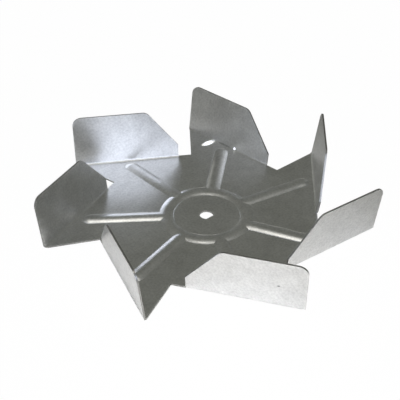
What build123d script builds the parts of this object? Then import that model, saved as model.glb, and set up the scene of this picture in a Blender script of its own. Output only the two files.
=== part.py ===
from build123d import *
from math import acos, cos, degrees, radians, sqrt, tan
import os

# Fan impeller, stamped and folded from one sheet of coated steel.
#
# Frame: +Z up, with the blades standing up from the base. The origin is on the shaft axis, in the plane
# of the underside of the base, and the flat of the shaft hole lies on the -Y side of the axis. Sizes are
# in millimetres and angles in degrees.

# Sheet
sheet_thickness = 0.8        # one gauge everywhere

# Arms: a saw-tooth disc, where each arm has one side edge and one fold edge that meet at its tip
arm_count = 7
tip_radius = 75.0            # axis to the tip of an arm
fold_distance = 50.6         # axis to the fold edge, measured square to that edge
notch_lead = 1.6             # how far the fold edge runs back past its nearest point to the axis
first_tip_angle = -48.0      # direction of the tip of the first arm

# Blades: one on each arm, folded up along the fold edge
blade_height = 24.2          # top of a blade above the top face of the base
blade_lean = 7.3             # outward from upright
bend_radius = 1.0            # inside the fold
blade_start = 6.4            # notch to the short inner edge, along the fold edge
inner_edge_height = 6.4      # that short edge, up the blade from the middle of the sheet
chamfer_run = 15.1           # length of the fold edge under the long chamfer
outer_edge_flare = 0.4       # how far the outer edge runs out past the tip at the top
outer_corner_radius = 4.2
shoulder_radius = 4.0        # where the chamfer meets the top edge
chamfer_foot_radius = 0.8    # where the chamfer meets the short edge

# Stamped stiffening: a raised ring round the flat seat, and a raised rib down each arm
emboss_height = 0.9
emboss_slope_run = 2.0       # plan width of every raised slope
crown_radius = 1.4           # rounding along the top of a slope
foot_radius = 1.0            # rounding along the bottom of a slope
seat_radius = 15.0           # flat seat inside the ring
ring_width = 6.9             # across the ring, foot to foot
rib_width = 6.8              # across a rib, foot to foot
rib_end_radius = 56.5        # axis to the outer end of a rib
rib_lag = 14.8               # rib direction behind the tip direction

# Shaft hole, D-shaped
bore_diameter = 6.2
bore_flat_distance = 2.27    # axis to the flat
bore_flat_angle = -90.0      # direction of the flat from the axis

# Worked out from the sizes above
arm_pitch = 360 / arm_count
fold_length = sqrt(tip_radius**2 - fold_distance**2) + notch_lead       # notch to tip
tip_offset_angle = degrees(acos(fold_distance / tip_radius))            # tip to the fold's normal
bend_angle = 90 - blade_lean
half_sheet = sheet_thickness / 2
bend_setback = (bend_radius + half_sheet) * tan(radians(bend_angle / 2))
bend_top = sheet_thickness + bend_radius
web_length = (blade_height + half_sheet) / cos(radians(blade_lean))     # up the blade, from mid sheet
overlap = 1.0                # flat sheet that the plate and a fold share before they are fused
past = 3.0                   # how far a cutting shape runs past what it cuts


def direction(angle):
    """Unit vector in the plan, turned from +X."""
    return Vector(1, 0).rotate(Axis.Z, angle)


def arm_point(arm, along, outward=0.0):
    """Plan point by its place along an arm's fold edge, from the notch, and outward of that edge."""
    normal = first_tip_angle - tip_offset_angle + arm * arm_pitch
    return direction(normal) * (fold_distance + outward) + direction(normal + 90) * (along - notch_lead)


def side_edge_point(arm, inward):
    """Plan point on an arm's side edge, by how far inward of the arm's fold edge it lies."""
    tip = arm_point(arm, fold_length)
    next_notch = arm_point(arm + 1, 0)
    normal = direction(first_tip_angle - tip_offset_angle + arm * arm_pitch)
    return tip + (next_notch - tip) * (inward / (tip - next_notch).dot(normal))


first_normal = direction(first_tip_angle - tip_offset_angle)
first_along = direction(first_tip_angle - tip_offset_angle + 90)
up_blade = Vector(0, 0, 1).rotate(Axis((0, 0, 0), first_along), blade_lean)

# Plane across the first fold, local x outward and local y up
fold_plane = Plane(origin=arm_point(0, blade_start), x_dir=first_normal, z_dir=-first_along)
# Plane along the middle of the first blade, local x from notch to tip and local y up the blade
blade_plane = Plane(
    origin=arm_point(0, 0) + Vector(0, 0, half_sheet),
    x_dir=first_along,
    z_dir=first_along.cross(up_blade),
)


def raised_section(inner_foot, outer_foot):
    """Section of a raised form, local y up, its feet level with the sheet face that it rises from."""
    with BuildSketch(mode=Mode.PRIVATE) as section:
        with BuildLine():
            Polyline(
                (inner_foot - foot_radius, -half_sheet),
                (inner_foot - foot_radius, 0),
                (inner_foot, 0),
                (inner_foot + emboss_slope_run, emboss_height),
                (outer_foot - emboss_slope_run, emboss_height),
                (outer_foot, 0),
                (outer_foot + foot_radius, 0),
                (outer_foot + foot_radius, -half_sheet),
                close=True,
            )
        make_face()
        fillet(section.vertices().group_by(Axis.Y)[-1], crown_radius)
        fillet(section.vertices().group_by(Axis.Y)[1].sort_by(Axis.X)[1:3], foot_radius)
    return section.sketch


# Raised ring: its section turned once round the axis
with BuildPart() as ring_form:
    with BuildSketch(Plane.XZ):
        add(raised_section(seat_radius, seat_radius + ring_width))
    revolve(axis=Axis.Z)

# Raised rib along +X: its section run straight out from the ring, then closed by half a turn of it
rib_start = seat_radius + ring_width / 2
rib_end_center = rib_end_radius - rib_width / 2
with BuildPart() as rib_form:
    with BuildSketch(Plane.YZ.offset(rib_start)):
        add(raised_section(-rib_width / 2, rib_width / 2))
    extrude(amount=rib_end_center - rib_start)
    with BuildSketch(Plane.YZ.offset(rib_end_center)):
        add(raised_section(-rib_width / 2, rib_width / 2))
        split(bisect_by=Plane.YZ, keep=Keep.TOP)
    revolve(axis=Axis((rib_end_center, 0, 0), (0, 0, -1)), revolution_arc=180)

# All that is raised, in one form. It is added on the top face and taken out of the underside.
with BuildPart() as raised_form:
    add(ring_form.part)
    with PolarLocations(0, arm_count, start_angle=first_tip_angle - rib_lag):
        add(rib_form.part)

# First blade with its fold, cut to the blade's outline and then to the arm's side edge at the tip
with BuildPart() as blade_form:
    with BuildSketch(fold_plane):
        with BuildLine():
            flat = Line((-bend_setback - overlap, sheet_thickness), (-bend_setback, sheet_thickness))
            bend = JernArc(flat @ 1, flat % 1, bend_radius, bend_angle)
            Line(bend @ 1, bend @ 1 + (bend % 1) * web_length)
            offset(amount=sheet_thickness, side=Side.RIGHT)
        make_face()
    extrude(amount=-(fold_length - blade_start + past))
    with BuildSketch(blade_plane) as outline:
        with BuildLine():
            Polyline(
                (blade_start, -past),
                (blade_start, inner_edge_height),
                (blade_start + chamfer_run, web_length),
                (fold_length + outer_edge_flare, web_length),
                (fold_length, 0),
                (fold_length, -past),
                close=True,
            )
        make_face()
        fillet(outline.vertices().group_by(Axis.Y)[-2].sort_by(Axis.X)[0], chamfer_foot_radius)
        fillet(outline.vertices().group_by(Axis.Y)[-1].sort_by(Axis.X)[0], shoulder_radius)
        fillet(outline.vertices().group_by(Axis.Y)[-1].sort_by(Axis.X)[-1], outer_corner_radius)
    extrude(amount=past, both=True, mode=Mode.INTERSECT)
    with BuildSketch(Plane.XY.offset(-past)):
        with BuildLine():
            trim_start = side_edge_point(0, bend_setback + overlap + past)
            trim_end = side_edge_point(0, -past)
            trim_corner = trim_end - first_normal * (bend_setback + overlap + 2 * past)
            Polyline(trim_start, trim_end, trim_corner, close=True)
        make_face()
    extrude(amount=past + bend_top, mode=Mode.SUBTRACT)

# The whole impeller
with BuildPart() as impeller:
    with BuildSketch():
        with BuildLine():
            corners = []
            for arm in range(arm_count):
                corners.append(arm_point(arm, 0))
                corners.append(arm_point(arm, blade_start))
                corners.append(arm_point(arm, blade_start, -bend_setback))
                corners.append(side_edge_point(arm, bend_setback))
            Polyline(*corners, close=True)
        make_face()
    extrude(amount=sheet_thickness)
    with Locations((0, 0, sheet_thickness)):
        add(raised_form.part)
    add(raised_form.part, mode=Mode.SUBTRACT)
    with PolarLocations(0, arm_count):
        add(blade_form.part)
    with BuildSketch(Plane.XY.rotated((0, 0, bore_flat_angle))):
        Circle(bore_diameter / 2)
        with Locations((bore_flat_distance, 0)):
            Rectangle(bore_diameter, bore_diameter, align=(Align.MIN, Align.CENTER), mode=Mode.SUBTRACT)
    extrude(amount=sheet_thickness, mode=Mode.SUBTRACT)

impeller.part.label = "impeller"

os.makedirs("parts", exist_ok=True)
export_step(impeller.part, "parts/impeller.step")
print(f"impeller: {impeller.part.volume:.0f} cubic mm, box {impeller.part.bounding_box().size}")
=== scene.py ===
# %% [markdown]
# # Fan impeller, pressed and folded from one sheet
# This wheel sits on the motor shaft of a hot-air fan. It is one piece of thin coated steel: a saw-tooth
# disc with seven arms, a pressed ring and ribs that stiffen it, and a blade folded up along one edge of
# each arm. The lesson makes it the way the press does. It cuts a flat blank, presses the ring and ribs
# into it, folds the blades, and only then gives the sheet its thickness.

# %% Load the fixed frame
import math

import bpy
import numpy as np
from mathutils import Matrix, Vector
from mathutils.geometry import delaunay_2d_cdt


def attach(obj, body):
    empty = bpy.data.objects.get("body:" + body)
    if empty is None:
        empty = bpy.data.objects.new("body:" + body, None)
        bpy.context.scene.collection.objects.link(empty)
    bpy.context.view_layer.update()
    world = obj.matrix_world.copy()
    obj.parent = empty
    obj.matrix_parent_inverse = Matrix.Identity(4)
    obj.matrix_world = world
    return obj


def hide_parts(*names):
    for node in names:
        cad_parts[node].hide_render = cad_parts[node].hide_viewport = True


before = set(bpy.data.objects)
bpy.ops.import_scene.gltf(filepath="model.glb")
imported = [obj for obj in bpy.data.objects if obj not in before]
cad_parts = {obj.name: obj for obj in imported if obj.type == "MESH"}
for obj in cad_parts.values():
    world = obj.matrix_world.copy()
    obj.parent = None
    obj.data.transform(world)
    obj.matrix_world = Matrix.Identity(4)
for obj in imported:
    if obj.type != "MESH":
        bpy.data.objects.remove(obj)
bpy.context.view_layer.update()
MM = 0.001
print("frame nodes:", sorted(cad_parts))

# %% [markdown]
# ## Camera
# A small part on a table is usually shot from about half a metre, looking down at 36 degrees. A long
# lens from there keeps the seven arms in proportion. The camera is placed by its own axes, so that its
# slight roll is kept too.

# %% Camera
view_heading = math.radians(-132.0)      # from the shaft axis towards the camera's side, in plan
view_elevation = math.radians(35.817)
view_roll = math.radians(0.807)
camera_place = Vector((-0.24640, -0.26905, 0.27232))
lens_mm = 89.70

level_right = Vector((-math.sin(view_heading), math.cos(view_heading), 0))
level_back = Vector((math.cos(view_heading), math.sin(view_heading), 0))
camera_back = level_back * math.cos(view_elevation) + Vector((0, 0, math.sin(view_elevation)))
camera_up = camera_back.cross(level_right)
rolled_right = level_right * math.cos(view_roll) + camera_up * math.sin(view_roll)
rolled_up = camera_up * math.cos(view_roll) - level_right * math.sin(view_roll)

camera_data = bpy.data.cameras.new("camera")
camera_data.sensor_width = 36.0
camera_data.lens = lens_mm
camera_data.clip_start = 0.01
camera = bpy.data.objects.new("camera", camera_data)
camera_turn = Matrix((rolled_right, rolled_up, camera_back)).transposed()
camera.matrix_world = Matrix.Translation(camera_place) @ camera_turn.to_4x4()
bpy.context.scene.collection.objects.link(camera)
bpy.context.scene.camera = camera
print("camera at", tuple(round(c, 3) for c in camera_place))

# %% [markdown]
# ## The sheet's own sizes
# Thin sheet is best described by its middle surface: the blank is cut there, and half the gauge is
# added on each side at the end. Sizes are in millimetres. The outline, the blades and the folds have the
# sizes of the solid part. The pressing is drawn as round beads: its ribs are a little wider, and its ring
# a little lower, than the plain sloping flanks of the solid.

# %% Sizes of the sheet, its arms, blades and pressing
gauge = 0.8
arm_count = 7
pitch = 2 * math.pi / arm_count
tip_radius, fold_distance, notch_lead = 75.0, 50.6, 1.6
first_tip = math.radians(-48.0)
blade_height, blade_lean = 24.2, math.radians(7.3)
blade_start, short_edge, chamfer_run, flare = 6.4, 6.4, 15.1, 0.4
outer_round, shoulder_round, foot_round = 4.2, 4.0, 0.8
bend_middle = 1.0 + gauge / 2            # bend radius at the middle of the sheet
rib_height, ring_height = 0.9, 0.65
seat_radius, ring_width = 15.0, 6.9
rib_width, rib_end, rib_lag = 7.2, 56.6, math.radians(14.8)
toe_run = 0.9                            # width of the hollow curve at the foot of each flank
hole_radius, hole_flat = 3.1, 2.27

fold_length = math.sqrt(tip_radius**2 - fold_distance**2) + notch_lead
fold_normal = first_tip - math.acos(fold_distance / tip_radius)
bend_angle = math.pi / 2 - blade_lean
setback = bend_middle * math.tan(bend_angle / 2)
bend_length = bend_middle * bend_angle
web_length = (blade_height + gauge / 2) / math.cos(blade_lean)
out_dir = np.array((math.cos(fold_normal), math.sin(fold_normal)))
along_dir = np.array((-out_dir[1], out_dir[0]))
notch_start = out_dir * fold_distance - along_dir * notch_lead
rib_dir = np.array((math.cos(first_tip - rib_lag), math.sin(first_tip - rib_lag)))
print(f"fold edge {fold_length:.1f} mm, blade {web_length:.1f} mm up from the fold")


# %% [markdown]
# ## Places on the blank
# Each arm is laid out from its own fold edge, as a drawing for the press would be. One number runs along
# that edge from the notch and one outward of it, so that the fold itself becomes a simple rule.


# %% Flat blank coordinates: along the fold edge, and outward of it
def on_blank(along, outward):
    """Blank points by their place along the fold edge from the notch, and outward of that edge."""
    along, outward = np.broadcast_arrays(np.asarray(along, float), np.asarray(outward, float))
    return notch_start + along[..., None] * along_dir + outward[..., None] * out_dir


def turned(points, angle):
    """Points in plan, turned round the shaft axis."""
    c, s = math.cos(angle), math.sin(angle)
    return points @ np.array(((c, s), (-s, c)))


next_notch = turned(notch_start[None], pitch)[0]
tip = on_blank(fold_length, 0.0)
side_slope = np.dot(next_notch - tip, along_dir) / np.dot(tip - next_notch, out_dir)
print(f"side edge leans {side_slope:.2f} along for each step inward")

# %% [markdown]
# ## The press form
# The die raises one closed form: a ring round the flat seat and a rib down each arm, each a round
# bead. A cross-section is enough to describe a bead, because its height depends only on how far a
# point lies inside the foot line. Where a rib runs into the ring, a soft maximum lets one surface flow
# into the other, as a polished die does.


# %% Height of the pressed form over the flat sheet
blend_width, blend_reach = 0.12, 0.3     # how softly a rib runs into the ring, and how far that is felt
rib_inset = 2.0                          # a rib starts this far outside the middle of the ring


def bead_height(inside, half_width, height):
    """Height by distance inside the foot line: a short hollow toe, then one wide round crown."""
    slope = 2 * height / half_width
    inside = np.clip(inside, 0, half_width)
    toe = slope * inside**2 / (2 * toe_run)
    crown = height - slope * (half_width - inside) ** 2 / (2 * (half_width - toe_run))
    return np.where(inside < toe_run, toe, crown)


def pressed_height(points):
    """Height of the pressing over points of the flat sheet."""
    ring_middle = seat_radius + ring_width / 2
    off_ring = np.abs(np.linalg.norm(points, axis=1) - ring_middle)
    ring = bead_height(ring_width / 2 - off_ring, ring_width / 2, ring_height)
    on_axis = np.clip(points @ rib_dir, ring_middle + rib_inset, rib_end - rib_width / 2)
    off_rib = np.linalg.norm(points - on_axis[:, None] * rib_dir, axis=1)
    rib = bead_height(rib_width / 2 - off_rib, rib_width / 2, rib_height)
    soft_maximum = (ring + rib + np.sqrt((ring - rib) ** 2 + blend_width**2)) / 2
    swell = blend_width / 2 * np.exp(-(np.abs(ring - rib) / blend_reach))
    return np.minimum(soft_maximum - swell, rib_height)


steepest = math.degrees(math.atan(4 * rib_height / rib_width))
print(f"ribs {rib_height} mm high, at most {steepest:.0f} degrees steep")

# %% [markdown]
# ## The fold
# A folded strip keeps its length along the middle of the sheet. A point outward of the bend line
# first travels round the bend, then straight up the blade.


# %% Fold the blank along the edge
slack_before, slack_after = 0.08, 1.0    # along the fold: less than the slit, and more than the flare


def folded(points):
    """Blank points in plan, carried to their place in space on the pressed and folded sheet."""
    rel = points - notch_start
    along, outward = rel @ along_dir, rel @ out_dir
    on_fold = (along > blade_start - slack_before) & (along < fold_length + slack_after)
    run = np.where(on_fold, outward + setback, 0)
    run = np.clip(run, 0, None)
    turn = np.minimum(run, bend_length) / bend_middle
    straight = np.clip(run - bend_length, 0, None)
    inward = np.where(run > 0, -setback, outward)
    plan = inward + bend_middle * np.sin(turn) + straight * math.cos(bend_angle)
    rise = bend_middle * (1 - np.cos(turn)) + straight * math.sin(bend_angle)
    spot = notch_start + along[:, None] * along_dir + plan[:, None] * out_dir
    height = gauge / 2 + rise + np.where(run > 0, 0, pressed_height(points))
    return np.column_stack((spot, height))


def blank_run(up_blade):
    """Outward place on the blank of a point that lies up_blade from the fold's corner."""
    return up_blade - 2 * setback + bend_length


print(f"bend takes {bend_length:.2f} mm of sheet")


# %% [markdown]
# ## One arm of the blank
# The press cuts all seven arms with one shape, so only one is drawn. It runs from one notch to the
# next, out along the fold edge and round the blade. A hair-wide slit at the start of the fold lets the
# blade come up without tearing the base, and the corners are rounded as the punch leaves them.


# %% Helpers for polylines
def rounded(corners, radii, steps=6):
    """Polyline with its inner corners rounded, each by its own radius."""
    path = [np.array(corners[0], float)]
    for before, corner, after, radius in zip(corners, corners[1:], corners[2:], radii):
        before, corner, after = (np.array(p, float) for p in (before, corner, after))
        into, out = (before - corner), (after - corner)
        into, out = into / np.linalg.norm(into), out / np.linalg.norm(out)
        half = math.acos(np.clip(np.dot(into, out), -1, 1)) / 2
        centre = corner + (into + out) / np.linalg.norm(into + out) * radius / math.sin(half)
        first = corner + into * radius / math.tan(half) - centre
        last = corner + out * radius / math.tan(half) - centre
        sweep = math.atan2(first[0] * last[1] - first[1] * last[0], np.dot(first, last))
        path += [centre + turned(first[None], sweep * k / steps)[0] for k in range(steps + 1)]
    return np.array(path + [np.array(corners[-1], float)])


def spaced(path, step):
    """Polyline with extra points, so that no stretch is longer than the step."""
    out = []
    for a, b in zip(path[:-1], path[1:]):
        count = max(1, math.ceil(np.linalg.norm(b - a) / step))
        out += [a + (b - a) * k / count for k in range(count)]
    return np.array(out + [path[-1]])


print("a stretch of 10 mm in steps of 3 mm takes", len(spaced(np.array([(0, 0), (10, 0)]), 3)), "points")

# %% Rows across the bend
edge_step = 1.3
bend_rows = 8
turn_rows = np.linspace(0, bend_angle, bend_rows + 1)
plan_rows = -setback + bend_middle * np.sin(turn_rows)
run_rows = -setback + bend_middle * turn_rows
end_rows = fold_length - side_slope * np.minimum(plan_rows, 0)
print(f"{bend_rows} strips round the bend, the first {end_rows[0] - blade_start:.1f} mm long")

# %% Rows across the beads, and the seam to the next arm
rib_steps = np.array((0, 0.3, 0.6, 0.9, 1.3, 1.7, 2.1, 2.6, 3.1))
ring_steps = np.array((0, 0.3, 0.6, 0.9, 1.3, 1.8, 2.4, 3.0))
hub_radius, hub_steps = 9.0, 16
inner_rows, inner_gap = 5, 0.9           # rows on the flat seat, and their gap to the ring
outer_rows, outer_from = 21, 23.2        # rows from beyond the ring to the notch
ring_rows = [*(seat_radius + ring_steps), seat_radius + ring_width / 2,
             *(seat_radius + ring_width - ring_steps[::-1])]
seam_radii = np.array(sorted([
    *ring_rows, *np.linspace(hub_radius, seat_radius - inner_gap, inner_rows),
    *np.linspace(outer_from, np.linalg.norm(notch_start), outer_rows)]))

notch_way = notch_start / np.linalg.norm(notch_start)
near_seam = seam_radii[:, None] * notch_way
far_seam = turned(near_seam, pitch)
hub_arc = np.array([turned(near_seam[:1], pitch * k / hub_steps)[0] for k in range(hub_steps + 1)])
print(len(seam_radii), "points on the seam between two arms")

# %% Outline of one arm on the blank
slit = 0.12
corner_run = blank_run(web_length)
blade_corners = [(blade_start, blank_run(setback)), (blade_start, blank_run(short_edge)),
                 (blade_start + chamfer_run, corner_run), (fold_length + flare, corner_run),
                 (fold_length, blank_run(setback))]
blade_path = rounded(blade_corners, (foot_round, shoulder_round, outer_round))
notch_path = np.array([(0, 0), (blade_start - slit, 0), (blade_start - slit, -setback),
                       (blade_start, -setback)])
outline = np.vstack((
    near_seam,
    spaced(on_blank(notch_path[:, 0], notch_path[:, 1]), edge_step)[1:],
    on_blank(blade_start, run_rows[1:]),
    spaced(on_blank(blade_path[:, 0], blade_path[:, 1]), edge_step)[1:],
    on_blank(end_rows[:-1], run_rows[:-1])[::-1],
    spaced(np.array([on_blank(end_rows[0], run_rows[0]), next_notch]), edge_step)[1:],
    far_seam[::-1][1:],
    hub_arc[::-1][1:-1],
))
print(f"outline of one arm has {len(outline)} points")

# %% [markdown]
# ## Triangles that follow the shape
# A plain grid would cut across the ribs and show facets. So the lines where the surface starts to
# turn, at the toes, crowns and bends, are drawn first, and a Delaunay triangulation keeps them as
# edges. The flat stretches between them only need a loose grid.

# %% Feature lines of one arm
inner_parts, outer_parts, parts_change = 16, 18, 20.0    # stretches of a ring line, by its radius
rib_overlap, rib_points, cap_points = 2.6, 28, 15
lines = []
seam_from = math.atan2(notch_way[1], notch_way[0])
for radius in ring_rows:
    count = inner_parts if radius < parts_change else outer_parts
    angles = seam_from + pitch * np.arange(count + 1) / count
    lines.append(radius * np.column_stack((np.cos(angles), np.sin(angles))))

rib_side = np.array((-rib_dir[1], rib_dir[0]))
rib_from, rib_to = seat_radius + ring_width - rib_overlap, rib_end - rib_width / 2
for inside in rib_steps:
    away = rib_width / 2 - inside
    straight = np.linspace(rib_from, rib_to, rib_points)
    cap = np.linspace(math.pi / 2, -math.pi / 2, cap_points)[1:-1]
    local = np.vstack((np.column_stack((straight, np.full(rib_points, away))),
                       np.column_stack((rib_to + away * np.cos(cap), away * np.sin(cap))),
                       np.column_stack((straight[::-1], np.full(rib_points, -away)))))
    lines.append(local[:, :1] * rib_dir + local[:, 1:] * rib_side)

for run, end in zip(run_rows, end_rows):
    count = math.ceil((end - blade_start) / edge_step)
    lines.append(on_blank(np.linspace(blade_start, end, count + 1), run))
print(len(lines), "feature lines")


# %% Loose grid between the lines
grid_step = 1.5
clear_share = 0.62                       # a grid point keeps this share of a step from any line


def inside_outline(points, loop):
    """True for each point that lies inside the closed loop."""
    a, b = loop, np.roll(loop, -1, axis=0)
    x, y = points[:, :1], points[:, 1:]
    crosses = (a[:, 1] > y) != (b[:, 1] > y)
    with np.errstate(divide="ignore", invalid="ignore"):
        at = (b[:, 0] - a[:, 0]) * (y - a[:, 1]) / (b[:, 1] - a[:, 1]) + a[:, 0]
    return ((crosses & (x < at)).sum(axis=1) % 2).astype(bool)


low, high = outline.min(axis=0), outline.max(axis=0)
rows = np.arange(low[1], high[1], grid_step * math.sqrt(3) / 2)
grid = np.array([(x + (grid_step / 2 if k % 2 else 0), y)
                 for k, y in enumerate(rows) for x in np.arange(low[0], high[0], grid_step)])
grid = grid[inside_outline(grid, outline)]
drawn = np.vstack([outline] + lines)
nearest = np.array([np.min(np.linalg.norm(drawn - p, axis=1)) for p in grid])
grid = grid[nearest > grid_step * clear_share]
print(len(grid), "grid points")

# %% Triangulate the arm
INSIDE_ONLY, same_point = 1, 1e-5        # the kind of result, and how near two points are one
points = [Vector(p) for p in outline]
edges = [(k, (k + 1) % len(outline)) for k in range(len(outline))]
for line in lines:
    first = len(points)
    points += [Vector(p) for p in line]
    edges += [(first + k, first + k + 1) for k in range(len(line) - 1)]
points += [Vector(p) for p in grid]
flat_points, _, flat_faces, *_ = delaunay_2d_cdt(points, edges, [], INSIDE_ONLY, same_point)
arm_flat = np.array([tuple(p) for p in flat_points])
print(len(arm_flat), "points and", len(flat_faces), "triangles in one arm")


# %% [markdown]
# ## Seat disc
# The flat middle clamps on the motor shaft. Its hole is a circle cut off by one flat, so that the shaft
# cannot slip round in it. The disc is made apart from the arms and shares their rim points. Each point
# also keeps its place on the flat blank, its distance to a cut edge and how far it is raised: the
# finish needs these for rolled grain, edge wear and the line pinched in at the foot of each bead.


# %% A mesh that remembers the flat sheet
def sheet_mesh(name, plan, faces, space, to_edge):
    """Mesh in metres that keeps each point's place on the blank, distance to a cut edge and raised share."""
    mesh = bpy.data.meshes.new(name)
    mesh.from_pydata((space * MM).tolist(), [], [tuple(f) for f in faces])
    blank = mesh.attributes.new("blank", "FLOAT_VECTOR", "POINT")
    blank.data.foreach_set("vector", np.column_stack((plan * MM, np.zeros(len(plan)))).ravel())
    edge = mesh.attributes.new("to_edge", "FLOAT", "POINT")
    edge.data.foreach_set("value", to_edge * MM)
    raised = mesh.attributes.new("raised", "FLOAT", "POINT")
    raised.data.foreach_set("value", pressed_height(plan) / rib_height)
    thing = bpy.data.objects.new(name, mesh)
    bpy.context.scene.collection.objects.link(thing)
    return thing


def distance_to(path, points):
    """Distance of each point to an open polyline."""
    a, way = path[:-1], np.diff(path, axis=0)
    found = []
    for p in points:
        share = np.clip(((p - a) * way).sum(axis=1) / (way**2).sum(axis=1), 0, 1)
        found.append(np.min(np.linalg.norm(a + share[:, None] * way - p, axis=1)))
    return np.array(found)


# The outline starts with one seam and ends with the other and the hub's arc; the rest is a cut edge.
cut_from = len(near_seam) - 1
cut_to = len(outline) - (len(far_seam) - 1) - (len(hub_arc) - 2)
arm_sheet = sheet_mesh("arm_sheet", arm_flat, flat_faces, folded(arm_flat),
                       distance_to(outline[cut_from:cut_to], arm_flat))
print("arm mesh:", len(arm_sheet.data.vertices), "points, up to",
      f"{max(v.co.z for v in arm_sheet.data.vertices) / MM:.1f} mm high")

# %% Seat disc with the D-hole
hole_points, flat_step = 40, 0.6
disc_radii = (7.4, 5.8, 4.5)             # loose rings of points between the rim and the hole
flat_half = math.acos(hole_flat / hole_radius)
hole_angles = -math.pi / 2 + np.linspace(flat_half, 2 * math.pi - flat_half, hole_points)
hole = hole_radius * np.column_stack((np.cos(hole_angles), np.sin(hole_angles)))
hole = np.vstack((hole, spaced(np.array([hole[-1], hole[0]]), flat_step)[1:-1]))
rim = np.vstack([turned(hub_arc[:-1], pitch * k) for k in range(arm_count)])
inner_rings = np.vstack([rim[::2] * r / hub_radius for r in disc_radii])
disc_points = [Vector(p) for p in np.vstack((rim, hole, inner_rings))]
disc_edges = [(k, (k + 1) % len(rim)) for k in range(len(rim))]
disc_edges += [(len(rim) + k, len(rim) + (k + 1) % len(hole)) for k in range(len(hole))]
found, _, disc_faces, *_ = delaunay_2d_cdt(disc_points, disc_edges, [], INSIDE_ONLY, same_point)
disc_flat = np.array([tuple(p) for p in found])
middles = np.array([disc_flat[list(f)].mean(axis=0) for f in disc_faces])
disc_faces = [f for f, inside in zip(disc_faces, inside_outline(middles, hole)) if not inside]
seat_sheet = sheet_mesh("seat_sheet", disc_flat, disc_faces,
                        np.column_stack((disc_flat, np.full(len(disc_flat), gauge / 2))),
                        distance_to(np.vstack((hole, hole[:1])), disc_flat))
print(len(disc_faces), "triangles in the seat disc")

# %% [markdown]
# ## Seven arms from one
# Every arm is the same, so one arm is turned seven times round the shaft. Geometry Nodes do that: a
# point for each arm carries a copy, and its number times the pitch turns it. Each copy's place on the
# flat blank is turned with it, so the rolled grain runs straight across the whole sheet, as it does on
# a part cut from one coil.


# %% Helpers for geometry nodes
def geometry_node(tree, kind, **settings):
    """New node with its settings."""
    made = tree.nodes.new(kind)
    for key, value in settings.items():
        setattr(made, key, value)
    return made


def named(tree, name, kind):
    """Value of a named attribute."""
    made = geometry_node(tree, "GeometryNodeInputNamedAttribute", data_type=kind)
    made.inputs["Name"].default_value = name
    return made.outputs[0]


def stored(tree, geometry, name, domain, kind, value):
    """Geometry that carries the value as a named attribute."""
    made = geometry_node(tree, "GeometryNodeStoreNamedAttribute", domain=domain, data_type=kind)
    made.inputs["Name"].default_value = name
    tree.links.new(geometry, made.inputs["Geometry"])
    tree.links.new(value, made.inputs["Value"])
    return made.outputs[0]


print("named attributes on the arm:", [a.name for a in arm_sheet.data.attributes if a.name[0] != "."])

# %% Inputs of the node tree
wheel_nodes = bpy.data.node_groups.new("arms_round_shaft", "GeometryNodeTree")
for title, kind in (("Arm", "Geometry"), ("Seat", "Object"), ("Arm Count", "Int"),
                    ("Join Distance", "Float"), ("Finish", "Material")):
    wheel_nodes.interface.new_socket(title, in_out="INPUT", socket_type="NodeSocket" + kind)
wheel_nodes.interface.new_socket("Geometry", in_out="OUTPUT", socket_type="NodeSocketGeometry")
given, result = wheel_nodes.nodes.new("NodeGroupInput"), wheel_nodes.nodes.new("NodeGroupOutput")
link = wheel_nodes.links.new
print("tree inputs:", [s.name for s in wheel_nodes.interface.items_tree if s.in_out == "INPUT"])

# %% One point and one copy for each arm, turned by its number
points = geometry_node(wheel_nodes, "GeometryNodePoints")
link(given.outputs["Arm Count"], points.inputs["Count"])
number = geometry_node(wheel_nodes, "GeometryNodeInputIndex")
pitch_node = geometry_node(wheel_nodes, "ShaderNodeMath", operation="DIVIDE")
pitch_node.inputs[0].default_value = 2 * math.pi
link(given.outputs["Arm Count"], pitch_node.inputs[1])
angle = geometry_node(wheel_nodes, "ShaderNodeMath", operation="MULTIPLY")
link(number.outputs[0], angle.inputs[0])
link(pitch_node.outputs[0], angle.inputs[1])
turn = geometry_node(wheel_nodes, "ShaderNodeCombineXYZ")
link(angle.outputs[0], turn.inputs["Z"])
placed = geometry_node(wheel_nodes, "GeometryNodeInstanceOnPoints")
link(points.outputs[0], placed.inputs["Points"])
link(given.outputs["Arm"], placed.inputs["Instance"])
link(turn.outputs[0], placed.inputs["Rotation"])
numbered = stored(wheel_nodes, placed.outputs[0], "turned_by", "INSTANCE", "FLOAT", angle.outputs[0])
print("each arm is turned by", round(math.degrees(pitch), 2), "degrees times its number")

# %% Turn each copy's place on the flat sheet along with it
real = geometry_node(wheel_nodes, "GeometryNodeRealizeInstances")
link(numbered, real.inputs[0])
rotate = geometry_node(wheel_nodes, "ShaderNodeVectorRotate", rotation_type="Z_AXIS")
link(named(wheel_nodes, "blank", "FLOAT_VECTOR"), rotate.inputs["Vector"])
link(named(wheel_nodes, "turned_by", "FLOAT"), rotate.inputs["Angle"])
on_sheet = stored(wheel_nodes, real.outputs[0], "blank", "POINT", "FLOAT_VECTOR", rotate.outputs[0])
print("place on the blank is turned by", rotate.inputs["Angle"].links[0].from_node.inputs[0].default_value)

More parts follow.
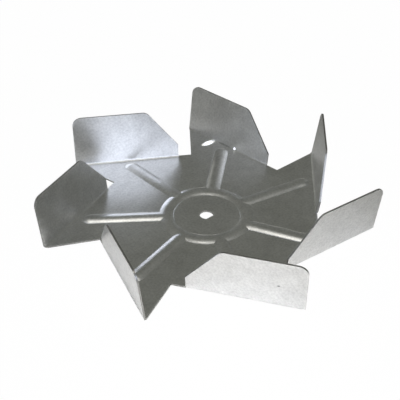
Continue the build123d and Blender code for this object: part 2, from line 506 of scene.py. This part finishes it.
# %% Join the seat, keep the flat places as UVs, and set the finish
seat = geometry_node(wheel_nodes, "GeometryNodeObjectInfo")
link(given.outputs["Seat"], seat.inputs["Object"])
both = geometry_node(wheel_nodes, "GeometryNodeJoinGeometry")
link(seat.outputs["Geometry"], both.inputs[0])
link(on_sheet, both.inputs[0])
joined = geometry_node(wheel_nodes, "GeometryNodeMergeByDistance")
link(both.outputs[0], joined.inputs["Geometry"])
link(given.outputs["Join Distance"], joined.inputs["Distance"])
flat_map = stored(wheel_nodes, joined.outputs[0], "flat_sheet", "CORNER", "FLOAT2",
                  named(wheel_nodes, "blank", "FLOAT_VECTOR"))
real_all = geometry_node(wheel_nodes, "GeometryNodeRealizeInstances")
link(flat_map, real_all.inputs[0])
finish = geometry_node(wheel_nodes, "GeometryNodeSetMaterial")
link(real_all.outputs[0], finish.inputs["Geometry"])
link(given.outputs["Finish"], finish.inputs["Material"])
link(finish.outputs[0], result.inputs[0])
print("tree has", len(wheel_nodes.nodes), "nodes")

# %% [markdown]
# ## Two finishes on one sheet
# The coat was on the coil before it was cut, so the faces carry it and the sheared edge does not. Both
# finishes are only named here, since the modifiers need them. Their nodes come later.

# %% Two finishes: the coated faces and the bare cut edge
coated = bpy.data.materials.new("coated_sheet")
cut_edge = bpy.data.materials.new("cut_edge")
for material in (coated, cut_edge):
    material.use_nodes = True
print("finishes:", coated.name, "and", cut_edge.name)


# %% Turn the arm, and keep the result as a plain mesh
def set_input(modifier, tree, name, value):
    """Value of a modifier's named input, set by its socket's identifier."""
    for item in tree.interface.items_tree:
        if item.name == name and item.in_out == "INPUT":
            modifier[item.identifier] = value


def plain_mesh(thing, name):
    """The evaluated object as a new mesh of its own, with no modifiers left."""
    evaluated = thing.evaluated_get(bpy.context.evaluated_depsgraph_get())
    mesh = bpy.data.meshes.new_from_object(evaluated)
    mesh.name = name
    result = bpy.data.objects.new(name, mesh)
    bpy.context.scene.collection.objects.link(result)
    return result


join_metres = 0.00001
repeat = arm_sheet.modifiers.new("arms_round_shaft", "NODES")
repeat.node_group = wheel_nodes
for name, value in (("Seat", seat_sheet), ("Arm Count", arm_count), ("Join Distance", join_metres),
                    ("Finish", coated)):
    set_input(repeat, wheel_nodes, name, value)
skin = plain_mesh(arm_sheet, "impeller_sheet")
for helper in (arm_sheet, seat_sheet):
    bpy.data.objects.remove(helper)
print("middle surface:", len(skin.data.vertices), "points,", len(skin.data.polygons), "faces")

# %% [markdown]
# ## Gauge and edges
# Solidify turns the middle surface into sheet of one gauge everywhere, and marks the sheared edge
# all round as a second finish. A small bevel takes the knife-sharp look off that edge.

# %% Thickness, edge bevel and smooth flanks
bevel_width, bevel_segments, sharp_from = 0.09, 2, math.radians(50)
skin.data.materials.append(cut_edge)
thicken = skin.modifiers.new("gauge", "SOLIDIFY")
thicken.thickness = gauge * MM
thicken.offset = 0.0
thicken.use_even_offset = True
thicken.material_offset_rim = 1
soften = skin.modifiers.new("edge_bevel", "BEVEL")
soften.width = bevel_width * MM
soften.segments = bevel_segments
soften.limit_method = "ANGLE"
soften.angle_limit = sharp_from
soften.harden_normals = True
for polygon in skin.data.polygons:
    polygon.use_smooth = True
impeller = plain_mesh(skin, "impeller_sheet_metal")
bpy.data.objects.remove(skin)
print("sheet:", len(impeller.data.vertices), "points,", len(impeller.data.polygons), "faces")

# %% [markdown]
# ## Coated steel
# The sheet is steel with a thin metal coat from a hot bath. It is a soft mirror: bright where it faces
# a window, dark where it faces the room. Fine rolled grain, faint blotches in the coat and light
# handling marks keep it from looking like chrome.


# %% Shader helpers
node = geometry_node                     # shader nodes are made in the same way


def noise(tree, vector, scale, detail=3.0, roughness=0.55, distortion=0.0):
    """Noise by place; scale is in waves for each metre."""
    made = node(tree, "ShaderNodeTexNoise")
    for name, value in (("Scale", scale), ("Detail", detail), ("Roughness", roughness),
                        ("Distortion", distortion)):
        made.inputs[name].default_value = value
    tree.links.new(vector, made.inputs["Vector"])
    return made.outputs["Fac"]


def spread(tree, value, low, high, start=0.3, end=0.7, smooth=False):
    """Value between start and end, spread between two levels."""
    made = node(tree, "ShaderNodeMapRange", interpolation_type="SMOOTHSTEP" if smooth else "LINEAR")
    for name, level in (("From Min", start), ("From Max", end), ("To Min", low), ("To Max", high)):
        made.inputs[name].default_value = level
    tree.links.new(value, made.inputs["Value"])
    return made.outputs["Result"]


print("noise and spread go to these finishes:", coated.name, cut_edge.name)


# %% Shader helpers for arithmetic and places
def maths(tree, operation, first, second):
    """One step of arithmetic between sockets or plain numbers."""
    made = node(tree, "ShaderNodeMath", operation=operation)
    for socket, value in zip(made.inputs, (first, second)):
        if isinstance(value, (int, float)):
            socket.default_value = value
        else:
            tree.links.new(value, socket)
    return made.outputs[0]


def total(tree, first, *others):
    """Sum of several sockets or numbers."""
    for other in others:
        first = maths(tree, "ADD", first, other)
    return first


def stretched(tree, vector, turn, scale):
    """Place turned about Z and scaled along each axis, so that noise becomes lines."""
    made = node(tree, "ShaderNodeMapping")
    made.inputs["Rotation"].default_value = (0, 0, turn)
    made.inputs["Scale"].default_value = scale
    tree.links.new(vector, made.inputs["Vector"])
    return made.outputs["Vector"]


print("nodes there from the start:", [n.bl_idname for n in coated.node_tree.nodes])


# %% Helpers for node groups
FLOAT, VECTOR = "NodeSocketFloat", "NodeSocketVector"


def shader_group(name, inputs, outputs):
    """Empty group with named sockets, and its input and output nodes."""
    tree = bpy.data.node_groups.new(name, "ShaderNodeTree")
    for title, kind in inputs:
        tree.interface.new_socket(title, in_out="INPUT", socket_type=kind)
    for title, kind in outputs:
        tree.interface.new_socket(title, in_out="OUTPUT", socket_type=kind)
    return tree, tree.nodes.new("NodeGroupInput"), tree.nodes.new("NodeGroupOutput")


def use_group(tree, group):
    """The group as a node in a material."""
    made = tree.nodes.new("ShaderNodeGroup")
    made.node_tree = group
    return made


print("groups pass", FLOAT, "and", VECTOR)

# %% [markdown]
# ## What the rolling mill and the coat leave
# A rolled and dipped sheet has four things to see up close: fine grain along the coil, tiny speckles
# and broader blotches in the coat, smudges from oil and hands, and a few hairline scratches. All come
# from noise over the flat blank, stretched where they are lines. They sit in a group that gives values
# only, so that another finish of the same coil could use them.


# %% Group: the rolled sheet's own texture
def hairlines(tree, place, turn, scale, start, end):
    """Thin scratches along one direction: only the peaks of a much stretched noise."""
    waves = noise(tree, stretched(tree, place, turn, scale), 1.0, detail=1.0)
    return spread(tree, waves, 0, 1, start, end)


def sheet_texture():
    """Grain, speckles, blotches, smudges and hairline scratches, by the place on the flat sheet."""
    tree, given, result = shader_group("sheet_texture", [("Place", VECTOR)], [
        ("Grain", FLOAT), ("Speckle", FLOAT), ("Blotch", FLOAT), ("Smudge", FLOAT), ("Scratch", FLOAT)])
    place = given.outputs["Place"]
    grain = noise(tree, stretched(tree, place, 0.35, (90, 2300, 1)), 1.0, detail=2.0)
    speckle = noise(tree, place, 950.0, detail=2.0, roughness=0.6)
    blotch = noise(tree, place, 190.0, detail=5.0, roughness=0.65)
    smudge = noise(tree, place, 42.0, detail=2.0, roughness=0.5, distortion=0.8)
    lines = maths(tree, "MAXIMUM", hairlines(tree, place, 1.25, (34, 2100, 1), 0.70, 0.78),
                  hairlines(tree, place, -0.5, (48, 2600, 1), 0.72, 0.80))
    soft_patch = spread(tree, noise(tree, place, 60.0, detail=2.0), 0, 1, 0.46, 0.62, smooth=True)
    scratch = maths(tree, "MULTIPLY", lines, soft_patch)
    for name, value in (("Grain", grain), ("Speckle", speckle), ("Blotch", blotch), ("Smudge", smudge),
                        ("Scratch", scratch)):
        tree.links.new(value, result.inputs[name])
    return tree


texture_group = sheet_texture()
print("sheet texture gives", [s.name for s in texture_group.interface.items_tree if s.in_out == "OUTPUT"])

# %% [markdown]
# ## Single marks
# This wheel has been handled: a dent and a nick sit where the foot of one blade was knocked, and one blade
# has a dark speck of dirt on it. The dent and the nick are painted lighter as a highlight, a thin line
# beside them is painted darker as shade in a crease, and one arm has a spot of painted highlight near the
# ring. Each is one soft ellipse at a place on the part, given by its centre, its heading and its half sizes.
# They change colour, shine and the way a face seems to lean, and leave the mesh as it is.


# %% Group: single marks on the part
def mark(tree, place, centre_mm, heading, half_size_mm, core):
    """Soft ellipse round one place on the part: 1 inside its core share and 0 outside."""
    shift = node(tree, "ShaderNodeVectorMath", operation="SUBTRACT")
    tree.links.new(place, shift.inputs[0])
    shift.inputs[1].default_value = tuple(c * MM for c in centre_mm)
    turn = node(tree, "ShaderNodeVectorRotate", rotation_type="Z_AXIS")
    turn.inputs["Angle"].default_value = -heading
    tree.links.new(shift.outputs[0], turn.inputs["Vector"])
    size = node(tree, "ShaderNodeVectorMath", operation="MULTIPLY")
    size.inputs[1].default_value = tuple(1 / (h * MM) for h in half_size_mm)
    tree.links.new(turn.outputs[0], size.inputs[0])
    length = node(tree, "ShaderNodeVectorMath", operation="LENGTH")
    tree.links.new(size.outputs[0], length.inputs[0])
    return spread(tree, length.outputs["Value"], 1, 0, core, 1.0, True)


def single_marks():
    """A dent and a nick beside one fold with a painted highlight, painted crease shade beside them, a dark
    speck of dirt on one blade, and a faint spot of painted highlight.
    """
    tree, given, result = shader_group("single_marks", [("Place", VECTOR)], [
        ("Dent And Painted Highlight", FLOAT), ("Bright", FLOAT), ("Speck And Crease Shade", FLOAT)])
    place = given.outputs["Place"]
    # The dent and the nick lean the face, and their colour is painted lighter as a highlight.
    dent_and_highlight = mark(tree, place, (41.1, 44.7, 0.8), math.radians(-4), (5.0, 2.2, 2.0), core=0.45)
    nick_and_highlight = mark(tree, place, (46.8, 31.3, 1.6), 0.0, (0.9, 0.9, 0.9), core=0.3)
    # A thin line beside the dent is painted darker, as shade in a crease.
    crease_shade = mark(tree, place, (45.8, 37.6, 1.1), math.radians(-82), (5.4, 0.6, 0.8), core=0.4)
    # A spot near the ring on one arm: a painted highlight, lighter in colour and a little rougher.
    soft_patch = mark(tree, place, (27.5, 5.5, 0.8), 0.0, (1.4, 0.9, 1.5), core=0.2)
    speck = mark(tree, place, (-20.1, -65.3, 11.9), 0.0, (0.55, 1.4, 0.55), core=0.3)
    crease_shade_share = 0.5
    speck_and_crease_shade = maths(tree, "MAXIMUM", speck, maths(tree, "MULTIPLY", crease_shade, crease_shade_share))
    for name, value in (("Dent And Painted Highlight", maths(tree, "MAXIMUM", dent_and_highlight, nick_and_highlight)), ("Bright", soft_patch), ("Speck And Crease Shade", speck_and_crease_shade)):
        tree.links.new(value, result.inputs[name])
    return tree


marks_group = single_marks()
print("single marks give", [s.name for s in marks_group.interface.items_tree if s.in_out == "OUTPUT"])

# %% [markdown]
# ## The coated faces
# The faces are all metal, so their colour is how much they mirror. Each layer of the texture adds a
# little to that level, to the roughness and to the relief. The coat wears through first along the cut
# edges, where the blotches decide how far. The relief stays within a tenth of a millimetre.

# %% The coated faces: where each layer comes from
tree = coated.node_tree
metal = tree.nodes["Principled BSDF"]
metal.inputs["Metallic"].default_value = 1.0
texture, marks = use_group(tree, texture_group), use_group(tree, marks_group)
tree.links.new(node(tree, "ShaderNodeUVMap", uv_map="flat_sheet").outputs["UV"], texture.inputs["Place"])
tree.links.new(node(tree, "ShaderNodeTexCoord").outputs["Object"], marks.inputs["Place"])
grain, speckle, blotch, smudge, scratch = (
    texture.outputs[name] for name in ("Grain", "Speckle", "Blotch", "Smudge", "Scratch"))
to_edge = node(tree, "ShaderNodeAttribute", attribute_name="to_edge").outputs["Fac"]
raised = node(tree, "ShaderNodeAttribute", attribute_name="raised").outputs["Fac"]
wear_width = 0.0011                      # metres in from a cut edge
worn_edge = maths(tree, "MULTIPLY", spread(tree, to_edge, 1, 0, 0.0, wear_width, smooth=True),
                  spread(tree, blotch, 0.15, 1, 0.38, 0.62))
print("layers:", texture.node_tree.name, "and", marks.node_tree.name)


# %% The coated faces: colour
def share_of(value, share):
    """A layer, weakened to its share, in the coated sheet's tree."""
    return maths(coated.node_tree, "MULTIPLY", value, share)


# Painted highlight: the dent, the nick and one spot near the ring are made lighter in colour here.
level = total(tree, spread(tree, blotch, 0.70, 0.82), spread(tree, grain, -0.014, 0.014),
              spread(tree, speckle, -0.08, 0.08), spread(tree, smudge, -0.025, 0.025),
              share_of(scratch, 0.03), share_of(worn_edge, 0.10),
              share_of(marks.outputs["Bright"], 0.05), share_of(marks.outputs["Dent And Painted Highlight"], 0.15))
# The speck of dirt darkens the colour here, and so does the painted shade along the crease.
level = maths(tree, "MULTIPLY", level, spread(tree, marks.outputs["Speck And Crease Shade"], 1.0, 0.25, 0.0, 1.0))


def tinted(tree, level, red, green, blue):
    """Colour from a grey level and a share for each channel."""
    mixed = node(tree, "ShaderNodeCombineColor")
    for channel, share in (("Red", red), ("Green", green), ("Blue", blue)):
        tree.links.new(maths(tree, "MULTIPLY", level, share), mixed.inputs[channel])
    return mixed.outputs["Color"]


tree.links.new(tinted(tree, level, 1.0, 1.0, 0.985), metal.inputs["Base Color"])
print("colour comes from", len(tree.nodes), "nodes so far")

# %% The coated faces: shine
gloss = total(tree, spread(tree, grain, 0.325, 0.345), spread(tree, smudge, -0.015, 0.025),
              share_of(scratch, 0.05), share_of(worn_edge, 0.08),
              share_of(marks.outputs["Bright"], 0.12))
tree.links.new(gloss, metal.inputs["Roughness"])
print("roughness is linked:", metal.inputs["Roughness"].is_linked)

# %% The coated faces: relief in metres, and the line pinched in at the foot of each bead
relief = total(tree, share_of(grain, 3e-7), share_of(smudge, 2e-5), share_of(blotch, 2e-5),
               share_of(speckle, 2e-5))
relief = maths(tree, "SUBTRACT", relief, share_of(scratch, 1e-6))
foot_line = maths(tree, "MULTIPLY", spread(tree, raised, 0, 1, 0.001, 0.012, smooth=True),
                  spread(tree, raised, 1, 0, 0.016, 0.05, smooth=True))
relief = maths(tree, "SUBTRACT", relief, share_of(foot_line, 7e-5))


def bumped(tree, height):
    """Normal from a relief in metres."""
    bump = node(tree, "ShaderNodeBump")
    bump.inputs["Distance"].default_value = 1.0
    tree.links.new(height, bump.inputs["Height"])
    return bump.outputs["Normal"]


# In the dent the sheet leans over one way. The last three numbers are a Mix node's vector sockets.
dent_heading, dent_lean = math.radians(-132.0), math.radians(54)
MIX_A, MIX_B, MIX_RESULT = 4, 5, 1
lean = node(tree, "ShaderNodeMix", data_type="VECTOR")
lean.inputs[MIX_B].default_value = (math.cos(dent_heading) * math.sin(dent_lean),
                                    math.sin(dent_heading) * math.sin(dent_lean), math.cos(dent_lean))
tree.links.new(marks.outputs["Dent And Painted Highlight"], lean.inputs[0])
tree.links.new(bumped(tree, relief), lean.inputs[MIX_A])
tree.links.new(lean.outputs[MIX_RESULT], metal.inputs["Normal"])
print("coated faces:", len(tree.nodes), "nodes")

# %% [markdown]
# ## The cut edge
# Shearing leaves the edge bare: duller and darker than the coat, with fine lines down through the
# thickness. Noise stretched along the height gives those lines.

# %% The cut edge
tree = cut_edge.node_tree
edge_metal = tree.nodes["Principled BSDF"]
edge_metal.inputs["Metallic"].default_value = 1.0
place = node(tree, "ShaderNodeTexCoord").outputs["Object"]
sheared = noise(tree, stretched(tree, place, 0.0, (1500, 1500, 260)), 1.0, detail=2.0)
dull = noise(tree, place, 220.0)
level = total(tree, spread(tree, sheared, 0.34, 0.46), spread(tree, dull, -0.05, 0.05))
tree.links.new(tinted(tree, level, 1.0, 0.995, 0.96), edge_metal.inputs["Base Color"])
tree.links.new(spread(tree, dull, 0.32, 0.44), edge_metal.inputs["Roughness"])
tree.links.new(bumped(tree, maths(tree, "MULTIPLY", sheared, 2e-5)), edge_metal.inputs["Normal"])
print("cut edge:", len(tree.nodes), "nodes")

# %% [markdown]
# ## Floor and light
# Bare metal shows its surroundings, so the room matters as much as the finish. A broad cool window
# stands behind the viewer, with a weak one to its side. A bright card hangs almost overhead, and two weak
# small ones give the beads and far faces their thin lights. Everything else is a dim room.
# These only show in the metal. One soft spot lights the paper in front of the part, which the outer
# faces of the front blades mirror. The paper is lifted almost to white where the camera sees it, and by
# a small share where the metal does. The rest of it keeps the part's soft shadow.


# %% Paper that the camera sees as white
def pale_paper(name, colour, camera_share, metal_share):
    """Paper that keeps a soft shadow, and is lifted to white by a share for the camera and the metal."""
    material = bpy.data.materials.new(name)
    material.use_nodes = True
    tree = material.node_tree
    tree.nodes.clear()
    out = node(tree, "ShaderNodeOutputMaterial")
    diffuse = node(tree, "ShaderNodeBsdfDiffuse")
    diffuse.inputs["Color"].default_value = (*colour, 1)
    glow = node(tree, "ShaderNodeEmission")
    path = node(tree, "ShaderNodeLightPath")
    seen_in_gloss = node(tree, "ShaderNodeMath", operation="MAXIMUM")
    tree.links.new(path.outputs["Is Glossy Ray"], seen_in_gloss.inputs[0])
    tree.links.new(path.outputs["Is Transmission Ray"], seen_in_gloss.inputs[1])
    in_gloss = node(tree, "ShaderNodeMath", operation="MULTIPLY")
    in_gloss.inputs[1].default_value = metal_share
    tree.links.new(seen_in_gloss.outputs[0], in_gloss.inputs[0])
    share = node(tree, "ShaderNodeMath", operation="MULTIPLY_ADD")
    share.inputs[1].default_value = camera_share
    tree.links.new(path.outputs["Is Camera Ray"], share.inputs[0])
    tree.links.new(in_gloss.outputs[0], share.inputs[2])
    mix = node(tree, "ShaderNodeMixShader")
    tree.links.new(share.outputs[0], mix.inputs["Fac"])
    tree.links.new(diffuse.outputs[0], mix.inputs[1])
    tree.links.new(glow.outputs[0], mix.inputs[2])
    tree.links.new(mix.outputs[0], out.inputs["Surface"])
    return material


floor_paper = pale_paper("pale_floor", (0.95, 0.95, 0.95), camera_share=0.99, metal_share=0.05)
print("floor paper:", len(floor_paper.node_tree.nodes), "nodes")


# %% Floor that sweeps up into a low wall
def sweep_floor(name, level, flat_radius, wall_radius, wall_height, around=96, steps=10):
    """Round floor that curves up into a low wall, as one smooth sheet of backdrop paper."""
    bend = wall_radius - flat_radius
    flat_rings = (0.25, 0.6, 1.0, flat_radius)
    section = [(r, 0.0) for r in flat_rings]
    section += [(flat_radius + bend * math.sin(t), bend * (1 - math.cos(t)))
                for t in np.linspace(0, math.pi / 2, steps)[1:]]
    section.append((wall_radius, wall_height))
    corners = [(0.0, 0.0, level)]
    for radius, rise in section:
        corners += [(radius * math.cos(t), radius * math.sin(t), level + rise)
                    for t in np.linspace(0, 2 * math.pi, around, endpoint=False)]
    faces = [(0, 1 + k, 1 + (k + 1) % around) for k in range(around)]
    for row in range(len(section) - 1):
        a, b = 1 + row * around, 1 + (row + 1) * around
        faces += [(a + k, b + k, b + (k + 1) % around, a + (k + 1) % around) for k in range(around)]
    mesh = bpy.data.meshes.new(name)
    mesh.from_pydata(corners, [], faces)
    for polygon in mesh.polygons:
        polygon.use_smooth = True
    thing = bpy.data.objects.new(name, mesh)
    bpy.context.scene.collection.objects.link(thing)
    return thing


floor = sweep_floor("floor", level=-0.0002, flat_radius=1.6, wall_radius=2.0, wall_height=0.62)
floor.data.materials.append(floor_paper)
print("floor:", len(floor.data.polygons), "faces")

# %% The dim room round it
world = bpy.data.worlds.new("studio")
bpy.context.scene.world = world
world.use_nodes = True
room = world.node_tree.nodes["Background"]
room.inputs["Color"].default_value = (0.138, 0.141, 0.124, 1)
print("room level:", tuple(round(c, 3) for c in room.inputs["Color"].default_value[:3]))


# %% Cards of soft light that the metal mirrors
def card(name, heading, elevation, distance, size, radiance, colour):
    """Soft light card that faces the part. Heading 0 is straight ahead of the camera, 90 to its right."""
    turn, rise = math.radians(heading), math.radians(elevation)
    width, height = size
    level_way = -level_back * math.cos(turn) + level_right * math.sin(turn)
    way = level_way * math.cos(rise) + Vector((0, 0, math.sin(rise)))
    lamp = bpy.data.lights.new(name, "AREA")
    lamp.shape = "RECTANGLE"
    lamp.size, lamp.size_y = width, height
    lamp.energy = radiance * math.pi * width * height
    lamp.color = colour
    thing = bpy.data.objects.new(name, lamp)
    thing.location = way * distance
    thing.rotation_euler = way.to_track_quat("Z", "Y").to_euler()
    thing.visible_diffuse = False
    bpy.context.scene.collection.objects.link(thing)
    return thing


cards = (
    card("window", heading=188, elevation=30, distance=0.95, size=(1.05, 0.85), radiance=2.75,
         colour=(0.79, 0.845, 1.0)),
    card("side_window", heading=230, elevation=40, distance=0.8, size=(0.5, 0.5), radiance=0.6,
         colour=(0.95, 0.97, 1.0)),
    card("overhead", heading=-40, elevation=86, distance=1.2, size=(0.40, 0.40), radiance=2.8,
         colour=(1.0, 0.98, 0.93)),
    card("high_strip", heading=60, elevation=68, distance=1.0, size=(0.12, 0.16), radiance=1.2,
         colour=(1.0, 1.0, 0.98)),
    card("low_back", heading=-24, elevation=14, distance=1.5, size=(0.45, 0.3), radiance=0.5,
         colour=(1.0, 0.99, 0.95)))
print("cards:", [(c.name, round(c.data.energy, 2)) for c in cards])

# %% Pool of light on the paper in front
pool_data = bpy.data.lights.new("floor_pool", "SPOT")
pool_data.energy = 24.0
pool_data.color = (1.0, 0.985, 0.98)
pool_data.spot_size = math.radians(20)
pool_data.spot_blend = 1.0
pool_data.shadow_soft_size = 0.08
pool_back, pool_right, pool_height = 0.35, 0.05, 0.75
aim_back, aim_right = 0.074, 0.002
pool = bpy.data.objects.new("floor_pool", pool_data)
pool.location = level_back * pool_back + level_right * pool_right + Vector((0, 0, pool_height))
pool_aim = level_back * aim_back + level_right * aim_right
pool.rotation_euler = (pool.location - pool_aim).to_track_quat("Z", "Y").to_euler()
pool.visible_glossy = False
bpy.context.scene.collection.objects.link(pool)
print("pool:", pool_data.energy, "W, aimed at", tuple(round(c, 3) for c in pool_aim))

# %% [markdown]
# ## Hand over
# The wheel is rigid and turns as one piece with its shaft, so it rides on the root body and stands in
# for the plain solid.

# %% Hand the sheet to the frame
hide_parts("impeller")
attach(impeller, "root")
print(impeller.name, "stands for", "impeller", "on root")

# %% [markdown]
# ## Last settings
# The plain Standard view keeps every colour as it was written.

# %% View
bpy.context.scene.view_settings.view_transform = "Standard"
print("view:", bpy.context.scene.view_settings.view_transform)
